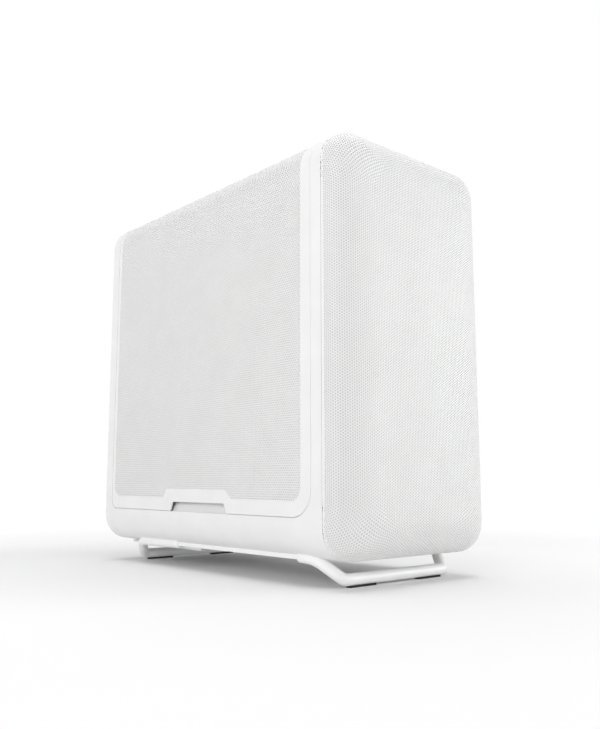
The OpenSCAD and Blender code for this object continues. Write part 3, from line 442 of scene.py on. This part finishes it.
class Dome:
    """The domed cover, unrolled: (u, v) are runs over its surface from the middle of its face."""

    HALVINGS = 26  # of the search for a depth
    NUDGE = 0.02  # to each side of a point, to measure the surface's directions there

    def __init__(self):
        (self.rx, self.dx), (self.rz, self.dz) = DOME_ROLL
        self.core = (HALF_W - self.rx, HALF_H - self.rz)
        self.corner = (self.core[0] - DOME_CORNER_R, self.core[1] - DOME_CORNER_R)
        self.rim = COVER_RIM_Y + HALF_D
        self.d = self.dz * (1 - np.cos(np.linspace(0, math.pi / 2, 400)))
        self.d = np.concatenate([self.d, np.linspace(self.dz, self.rim, 30)[1:]])
        self.arc = [self.arc_length(r, d) for r, d in DOME_ROLL]

    @staticmethod
    def roll(d, reach, depth):
        t = np.clip(1 - d / depth, 0, 1)
        return reach * (1 - np.sqrt(1 - t * t))

    def arc_length(self, reach, depth):
        ins = self.roll(self.d, reach, depth)
        step = np.hypot(np.diff(ins), np.diff(self.d))
        return np.concatenate([[0], np.cumsum(step)])

    def depth_at(self, s, wx):
        """Depth behind the tip after a run s over the surface, a share wx of it as on the sides."""
        lo, hi = np.zeros_like(s), np.full_like(s, self.d[-1])
        for _ in range(self.HALVINGS):
            mid = (lo + hi) / 2
            side, end = (np.interp(mid, self.d, arc) for arc in self.arc)
            run = wx * side + (1 - wx) * end
            lo, hi = np.where(run < s, mid, lo), np.where(run < s, hi, mid)
        return (lo + hi) / 2

    def spread(self, u, v):
        """Run past the flat face, and the direction's share and angle, for unrolled points."""
        au, av = np.abs(u), np.abs(v)
        qu, qv = au - self.corner[0], av - self.corner[1]
        theta = np.arctan2(np.maximum(qv, 0), np.maximum(qu, 0))
        in_corner = (qu > 0) & (qv > 0)
        s = np.where(in_corner, np.hypot(qu, qv) - DOME_CORNER_R,
                     np.maximum(qu - DOME_CORNER_R, qv - DOME_CORNER_R))
        return np.maximum(s, 0), np.cos(theta) ** 2, theta, in_corner

    def ring_point(self, d, theta):
        """Point on the ring at depth d in a quarter's corner, theta from its side to its top."""
        ix, iz = self.roll(d, self.rx, self.dx), self.roll(d, self.rz, self.dz)
        rx, rz = (np.maximum(EDGE_R - inset, DOME_CORNER_R) for inset in (ix, iz))
        hx, hz = HALF_W - ix - rx, HALF_H - iz - rz
        a, b = hz - self.corner[1], hx - self.corner[0]
        arc = (rx + rz) / 2 * math.pi / 2
        run = theta / (math.pi / 2) * (a + arc + b)
        ang = np.clip((run - a) / arc, 0, 1) * math.pi / 2
        x = hx + rx * np.cos(ang) - np.maximum(run - a - arc, 0)
        z = hz + rz * np.sin(ang) - np.maximum(a - run, 0)
        return x, z

    def surface(self, u, v):
        s, wx, theta, in_corner = self.spread(u, v)
        d = self.depth_at(s, wx)
        ix, iz = self.roll(d, self.rx, self.dx), self.roll(d, self.rz, self.dz)
        au, av = np.abs(u), np.abs(v)
        side = (au - self.corner[0]) > (av - self.corner[1])
        x = np.where(side & (s > 0), HALF_W - ix, au)
        z = np.where(~side & (s > 0), HALF_H - iz, av)
        cx, cz = self.ring_point(d, theta)
        use = in_corner & (s > 0)
        x, z = np.where(use, cx, x), np.where(use, cz, z)
        return np.stack([np.sign(u) * x, d - HALF_D, np.sign(v) * z + MID_Z], -1)

    def place(self, u, v, depth):
        e = self.NUDGE
        p = self.surface(u, v)
        du = self.surface(u + e, v) - self.surface(u - e, v)
        dv = self.surface(u, v + e) - self.surface(u, v - e)
        n = np.cross(du, dv)
        n /= np.maximum(np.linalg.norm(n, axis=-1, keepdims=True), 1e-12)
        return p - n * depth


def dome_mesh():
    dome = Dome()
    half_u = dome.core[0] + dome.arc[0][-1] + 1
    half_v = dome.core[1] + dome.arc[1][-1] + 1

    def from_rim(least):
        """Test for points at least so far over the surface from the rim, negative beyond it."""
        def test(u, v):
            s, wx, _, _ = dome.spread(u, v)
            return wx * dome.arc[0][-1] + (1 - wx) * dome.arc[1][-1] - s > least

        return test

    def place(u, v, depth):
        return dome.place(u, v, depth - MESH_IN + DOME_MESH_IN)

    u_range, v_range = (-half_u, half_u), (-half_v, half_v)
    liner("cover_liner", u_range, v_range, place, from_rim(-DOME_SHEET_OVER), "front_cover",
          step=2.0)
    perforated("cover_mesh", u_range, v_range, place, from_rim(DOME_HOLES_IN),
               from_rim(-DOME_SHEET_OVER), "front_cover", "front_cover_mesh")


# ---------------------------------------------------------------- painted sheet metal
def refined(name, nodes, body, slot):
    """One piece made from CAD nodes of a body, welded together, with its sharp edges rounded."""
    parts = []
    for node in nodes:
        o = add_object(f"{name}_{node}", frame["nodes"][node].data.copy())
        bm = bmesh.new()
        bm.from_mesh(o.data)
        bmesh.ops.remove_doubles(bm, verts=bm.verts, dist=2e-6)
        bm.to_mesh(o.data)
        bm.free()
        parts.append(o)
    main = parts[0]
    for other in parts[1:]:
        boolean(main, "UNION", other)
    round_edges(main, 0.3)
    even = main.modifiers.new("even", "WEIGHTED_NORMAL")
    even.keep_sharp = True
    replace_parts(applied_piece(name, main, parts, body, slot), *nodes)


# ---------------------------------------------------------------- feet
TUBE_R = 5.75
TUBE_SIDES = 40
PAD_T = 1.5
PAD_GAP = 0.05
FOOT_CORNER_X = 71.0
ARM_X = 87.0
ARM_BEND_Y = 21.0
ARM_BEND_Z = FOOT_H + 0.8
ARM_END_Z = FOOT_H + 1.4
ARM_BEND_R = 26.0
FOOT_CORNER_R = 6.6
INTO_SKIN = 0.4
END_ROUND = 1.6
END_TURNS = (1.45, 1.1, 0.7, 0.35)


def bent_path(points, radii, step=1.2):
    """Points along a polyline whose corners are rounded with the radii given."""
    points = [Vector(p) for p in points]
    out = [points[0]]
    for a, p, b, radius in zip(points, points[1:], points[2:], radii):
        ta, tb = (a - p).normalized(), (b - p).normalized()
        half = ta.angle(tb) / 2
        reach = min(radius / math.tan(half), (a - p).length * 0.49, (b - p).length * 0.49)
        r = reach * math.tan(half)
        centre = p + (ta + tb).normalized() * (r / math.sin(half))
        count = max(4, int(r * (math.pi - 2 * half) / step))
        u, w = p + ta * reach - centre, p + tb * reach - centre
        turn = u.angle(w)
        for t in range(count + 1):
            f = t / count
            arc = u * math.sin((1 - f) * turn) + w * math.sin(f * turn)
            out.append(centre + arc / math.sin(turn))
    out.append(points[-1])
    return out


def filled_in(path, most=2.5):
    """The path with more points on its long straight runs."""
    dense = [path[0]]
    for p in path[1:]:
        start = dense[-1]
        parts = max(1, int((p - start).length / most))
        dense += [start.lerp(p, k / parts) for k in range(1, parts + 1)]
    return dense


def foot_tube(name, node, foot_y, sleeve_end, back):
    """Bent tube of a foot, flattened where it is welded along the rounded underside."""
    arm = [(ARM_X, sleeve_end, ARM_END_Z), (ARM_X, foot_y + back * ARM_BEND_Y, ARM_BEND_Z),
           (FOOT_CORNER_X, foot_y, PAD_T + TUBE_R)]
    points = [(-x, y, z) for x, y, z in arm] + arm[::-1]
    path = filled_in(bent_path(points, [ARM_BEND_R, FOOT_CORNER_R, FOOT_CORNER_R, ARM_BEND_R]))
    last = len(path) - 1
    tangents = [(path[min(k + 1, last)] - path[max(k - 1, 0)]).normalized()
                for k in range(len(path))]
    stations = [(path[0] - tangents[0] * (END_ROUND * math.sin(t)), tangents[0], math.cos(t))
                for t in END_TURNS]
    stations += [(p, t, 1.0) for p, t in zip(path, tangents)]
    stations += [(path[-1] + tangents[-1] * (END_ROUND * math.sin(t)), tangents[-1], math.cos(t))
                 for t in END_TURNS[::-1]]
    bm = bmesh.new()
    rings, side = [], Vector((0, 0, 1))
    for p, tangent, scale in stations:
        side = (side - tangent * side.dot(tangent)).normalized()
        other = tangent.cross(side)
        ring = []
        for k in range(TUBE_SIDES):
            a = 2 * math.pi * k / TUBE_SIDES
            q = p + (side * math.cos(a) + other * math.sin(a)) * (TUBE_R * scale)
            out = max(abs(q.x) - CORNER_X, 0)
            skin = FOOT_H + EDGE_R - math.sqrt(max(EDGE_R ** 2 - out ** 2, 0))
            q.z = max(min(q.z, skin + INTO_SKIN), PAD_T + PAD_GAP)
            ring.append(bm.verts.new(q * MM))
        rings.append(ring)
    for a, b in zip(rings, rings[1:]):
        for k in range(TUBE_SIDES):
            k2 = (k + 1) % TUBE_SIDES
            bm.faces.new((a[k], a[k2], b[k2], b[k]))
    bm.faces.new(rings[0][::-1])
    bm.faces.new(rings[-1])
    bmesh.ops.recalc_face_normals(bm, faces=bm.faces)
    for f in bm.faces:
        f.smooth = True
    me = mesh_from_bmesh(name, bm)
    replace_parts(add_piece(name, me, M["painted_tube"], "case"), node)


# ---------------------------------------------------------------- metal faces at the rear
CUT_Y = (200.0, 212.0)

# Bracket of the graphics card, its row of vents and its three sockets
BRACKET_X = (-44.3, 74.3)
BRACKET_Y = (206.75, 208.2)
BRACKET_Z = (184.3, 222.2)
VENTS_X = np.arange(-36, 64, 5.4)
VENT_W = 3.2
VENT_Z = (188.0, 201.5)
SOCKETS_X = ((-28.0, -11.0), (-2.0, 15.0), (24.0, 41.0))
SOCKET_Z = (206.5, 213.0)
SOCKET_TONGUE_Y = (207.3, 208.05)
SOCKET_TONGUE_Z = (208.9, 210.6)

# Connectors of the motherboard: low x, low z, high z, rows of sockets
CONNECTORS = ((40.0, 344.0, 372.0, 3), (60.0, 322.0, 340.0, 1), (52.0, 288.0, 318.0, 2),
              (46.0, 266.0, 284.0, 2), (44.0, 230.0, 262.0, 3))
CONNECTOR_HIGH_X = 73.5
FACE_IN = 0.5
FACE_Y = (206.2, 208.4)
FACE_EDGE = (1.4, 1.3)
OPENING_Y = (207.0, 212.0)
TONGUE_IN = 3.4
TONGUE_Y = (206.9, 208.2)
TONGUE_HALF_T = 0.9


def rounded_block(bm, x, y, z, r, seg=4):
    """Box along Y whose outline in X and Z has rounded corners."""
    outline = []
    corners = ((x[1] - r, z[1] - r), (x[0] + r, z[1] - r), (x[0] + r, z[0] + r),
               (x[1] - r, z[0] + r))
    for quarter, (cx, cz) in enumerate(corners):
        for k in range(seg + 1):
            a = math.radians(90 * quarter + 90 * k / seg)
            outline.append((cx + r * math.cos(a), cz + r * math.sin(a)))
    rows = [[bm.verts.new((px * MM, py * MM, pz * MM)) for px, pz in outline] for py in y]
    n = len(outline)
    for k in range(n):
        k2 = (k + 1) % n
        bm.faces.new((rows[0][k], rows[1][k], rows[1][k2], rows[0][k2]))
    bm.faces.new(rows[0])
    bm.faces.new(rows[1][::-1])


def block_piece(name, blocks, slot, cutters=(), bevel=0.15):
    """Piece of the case made of rounded blocks, less the cutters, with its edges rounded."""
    made = []
    for part in (blocks, cutters):
        bm = bmesh.new()
        for b in part:
            rounded_block(bm, *b)
        bmesh.ops.recalc_face_normals(bm, faces=bm.faces)
        made.append(add_object(name, mesh_from_bmesh(name, bm)))
    main, tool = made
    if cutters:
        boolean(main, "DIFFERENCE", tool)
    round_edges(main, bevel)
    applied_piece(name, main, made, "case", slot)


def card_bracket():
    """Steel bracket over the card's two slots, with vents and three display sockets."""
    vents = [((x, x + VENT_W), CUT_Y, VENT_Z, 1.5) for x in VENTS_X]
    holes = [(x, CUT_Y, SOCKET_Z, 1.0) for x in SOCKETS_X]
    block_piece("card_bracket", [(BRACKET_X, BRACKET_Y, BRACKET_Z, 0.6)], "bright_steel",
                vents + holes)
    tongues = [(widened(x, -3.0), SOCKET_TONGUE_Y, SOCKET_TONGUE_Z, 0.3) for x in SOCKETS_X]
    block_piece("card_sockets", tongues, "brass_parts", bevel=0.08)


def rear_ports():
    """Metal faces with sockets and tongues on the board's rear connectors."""
    faces, cuts, tongues = [], [], []
    for low_x, z0, z1, rows in CONNECTORS:
        x = (low_x + FACE_IN, CONNECTOR_HIGH_X)
        faces.append((x, FACE_Y, (z0 + FACE_IN, z1 - FACE_IN), 0.8))
        tall = (z1 - z0 - 2 * FACE_IN) / rows
        for k in range(rows):
            z = z0 + FACE_IN + k * tall
            mid = z + tall / 2
            cuts.append((widened(x, -FACE_EDGE[0]), OPENING_Y,
                         (z + FACE_EDGE[1], z + tall - FACE_EDGE[1]), 0.9))
            tongues.append((widened(x, -TONGUE_IN), TONGUE_Y,
                            (mid - TONGUE_HALF_T, mid + TONGUE_HALF_T), 0.3))
    block_piece("port_faces", faces, "bright_steel", cuts)
    block_piece("port_tongues", tongues, "black_plastic", bevel=0.1)


# ---------------------------------------------------------------- floor and light
FLOOR_R = 9.0
FLOOR_ALBEDO = 0.89
BACKDROP = 1.02
BACKDROP_FROM, BACKDROP_TO = 0.42, 0.85

# Light of the world below and above a band of heights on the sky
SKY_LOW = 0.72
SKY_HIGH = 0.31
SKY_BAND = (0.2, 0.7)

# Area lights, in metres and watts: place, the point it faces, size, power
LIGHTS = {
    "key": ((2.4, -1.75, 0.8), (0, 0, 0.2), (1.4, 1.2), 21.0),
    "fill": ((-2.3, -0.9, 0.7), (0, 0, 0.2), (1.6, 1.2), 17.5),
    "top": ((0.0, 0.0, 3.0), (0, 0, 0.0), (3.2, 3.2), 66.0),
    "low": ((1.6, -1.8, 0.2), (0, 0, 0.1), (1.8, 0.3), 8.0),
}


def make_floor():
    """Pale matt floor that turns into the white of the backdrop further out."""
    bm = bmesh.new()
    bmesh.ops.create_circle(bm, cap_ends=True, segments=96, radius=FLOOR_R)
    me = mesh_from_bmesh("floor", bm)
    m, nt, b = nodes_of("floor")
    b.inputs["Base Color"].default_value = (FLOOR_ALBEDO, FLOOR_ALBEDO, FLOOR_ALBEDO, 1)
    b.inputs["Roughness"].default_value = 0.95
    b.inputs["Specular IOR Level"].default_value = 0.0
    where = nt.nodes.new("ShaderNodeTexCoord")
    away = nt.nodes.new("ShaderNodeVectorMath")
    away.operation = "LENGTH"
    link(nt, where.outputs["Object"], away.inputs[0])
    white = nt.nodes.new("ShaderNodeEmission")
    white.inputs["Color"].default_value = (1, 1, 1, 1)
    white.inputs["Strength"].default_value = BACKDROP
    both = nt.nodes.new("ShaderNodeMixShader")
    share = ramp(nt, away.outputs["Value"], BACKDROP_FROM, BACKDROP_TO, 0, 1)
    link(nt, share, both.inputs["Fac"])
    link(nt, b.outputs["BSDF"], both.inputs[1])
    link(nt, white.outputs["Emission"], both.inputs[2])
    link(nt, both.outputs["Shader"], nt.nodes["Material Output"].inputs["Surface"])
    me.materials.append(m)
    add_object("floor", me)


def area_light(name, at, towards, size, power):
    data = bpy.data.lights.new(name, "AREA")
    data.shape = "RECTANGLE"
    data.size, data.size_y = size
    data.energy = power
    o = add_object(name, data)
    o.location = at
    o.rotation_mode = "QUATERNION"
    o.rotation_quaternion = (Vector(towards) - Vector(at)).to_track_quat("-Z", "Y")


def make_world():
    """White behind everything, while the light it gives comes mostly from low down."""
    world = bpy.data.worlds.new("studio")
    world.use_nodes = True
    nt = world.node_tree
    back = nt.nodes["Background"]
    co = nt.nodes.new("ShaderNodeTexCoord")
    split = nt.nodes.new("ShaderNodeSeparateXYZ")
    link(nt, co.outputs["Generated"], split.inputs[0])
    level = ramp(nt, split.outputs["Z"], *SKY_BAND, SKY_LOW, SKY_HIGH)
    back.inputs["Color"].default_value = (1, 1, 1, 1)
    link(nt, level, back.inputs["Strength"])
    white = nt.nodes.new("ShaderNodeBackground")
    path = nt.nodes.new("ShaderNodeLightPath")
    mix = nt.nodes.new("ShaderNodeMixShader")
    white.inputs["Color"].default_value = (1, 1, 1, 1)
    link(nt, path.outputs["Is Camera Ray"], mix.inputs["Fac"])
    link(nt, back.outputs[0], mix.inputs[1])
    link(nt, white.outputs[0], mix.inputs[2])
    link(nt, mix.outputs[0], nt.nodes["World Output"].inputs["Surface"])
    bpy.context.scene.world = world


# ---------------------------------------------------------------- the scene
make_camera()
dress_cad_nodes()
card_bracket()
rear_ports()
refined("case_shell", ["base_pan", "front_hoop", "rear_hoop"], "case", "painted_shell")
for panel in ("left", "right", "top"):
    refined(f"{panel}_frame", [f"{panel}_panel_frame"], f"{panel}_panel", "painted_shell")
foot_tube("front_foot_tube", "front_foot", foot_y=-174.0, sleeve_end=-133.0, back=1)
foot_tube("rear_foot_tube", "rear_foot", foot_y=180.0, sleeve_end=75.0, back=-1)
side_mesh("left", -1)
side_mesh("right", 1)
top_mesh()
dome_mesh()
make_floor()
make_world()
for light, (at, towards, size, power) in LIGHTS.items():
    area_light(light, at, towards, size, power)
bpy.context.scene.view_settings.view_transform = "Standard"
